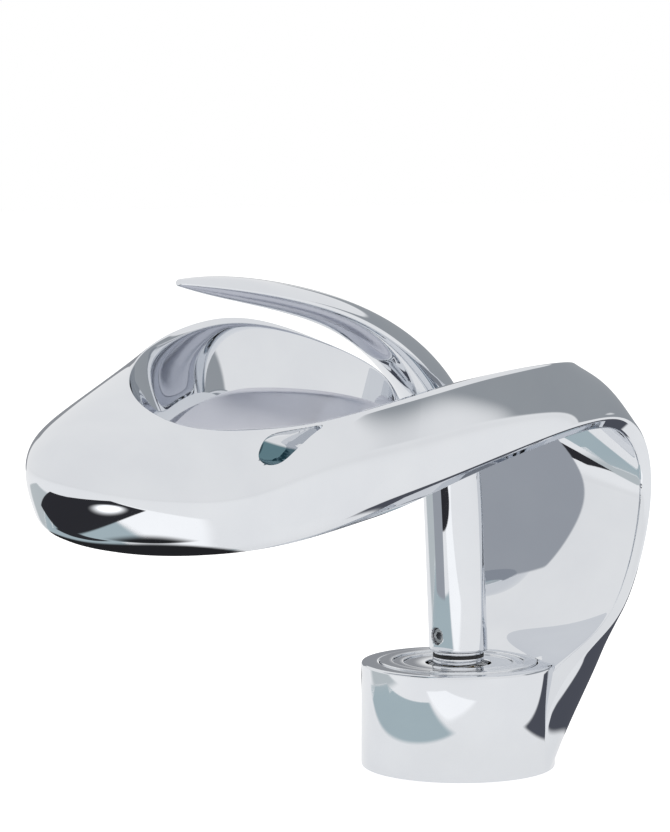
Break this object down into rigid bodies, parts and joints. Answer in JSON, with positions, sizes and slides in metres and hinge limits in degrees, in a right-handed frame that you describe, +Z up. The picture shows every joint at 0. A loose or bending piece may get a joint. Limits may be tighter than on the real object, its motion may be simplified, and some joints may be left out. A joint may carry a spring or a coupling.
{
  "type": "single-lever basin mixer",
  "caption": "Chrome deck-mounted basin mixer with a curled ribbon spout, an oval dish nose and an upright lever that tilts for flow and turns for temperature.",
  "frame": {"origin": "on the axis of the round base, at the deck it stands on", "axes": "+Z up, spout and lever tip towards -Y, ribbon side of the spout towards +X"},
  "size_m": [0.0643, 0.1837, 0.1331],
  "materials": {
    "chrome_body": "mirror-polished chrome plating on cast brass",
    "chrome_trim": "turned and chrome-plated",
    "brass": "machined, unplated",
    "steel": "machined stainless steel",
    "ceramic": "lapped alumina",
    "cartridge_plastic": "moulded acetal",
    "aerator_plastic": "moulded",
    "rubber": "moulded EPDM"
  },
  "bodies": {
    "fixed": {"spout_body": "chrome_body", "outlet_plate": "chrome_trim", "aerator_housing": "chrome_trim", "aerator_insert": "aerator_plastic", "aerator_washer": "rubber", "base_gasket": "rubber", "cartridge_base": "cartridge_plastic", "cartridge_seals": "rubber", "fixed_disc": "ceramic", "cartridge_housing": "cartridge_plastic", "housing_seal": "rubber", "cartridge_nut": "brass", "cover_ring": "chrome_trim"},
    "carrier": {"rotor": "cartridge_plastic", "pivot_pin": "steel"},
    "lever": {"spindle": "brass", "lever_handle": "chrome_body", "handle_sleeve": "brass", "grub_screw": "steel", "stem_collar": "chrome_trim", "collar_ring": "rubber"},
    "slider": {"moving_disc": "ceramic", "disc_driver": "cartridge_plastic"}
  },
  "joints": [
    {"name": "temperature_turn", "type": "hinge", "parent": "fixed", "child": "carrier", "pos_m": [0, 0, 0.024], "axis": [0, 0, 1], "range_deg": [-25, 25]},
    {"name": "flow_tilt", "type": "hinge", "parent": "carrier", "child": "lever", "pos_m": [0, 0, 0.024], "axis": [-1, 0, 0], "range_deg": [0, 18]},
    {"name": "disc_slide", "type": "slide", "parent": "carrier", "child": "slider", "axis": [0, -1, 0], "range_m": [0, 0.0022]}
  ],
  "couplings": [
    {"joint": "disc_slide", "follows": "flow_tilt", "m_per_rad": 0.0068}
  ]
}
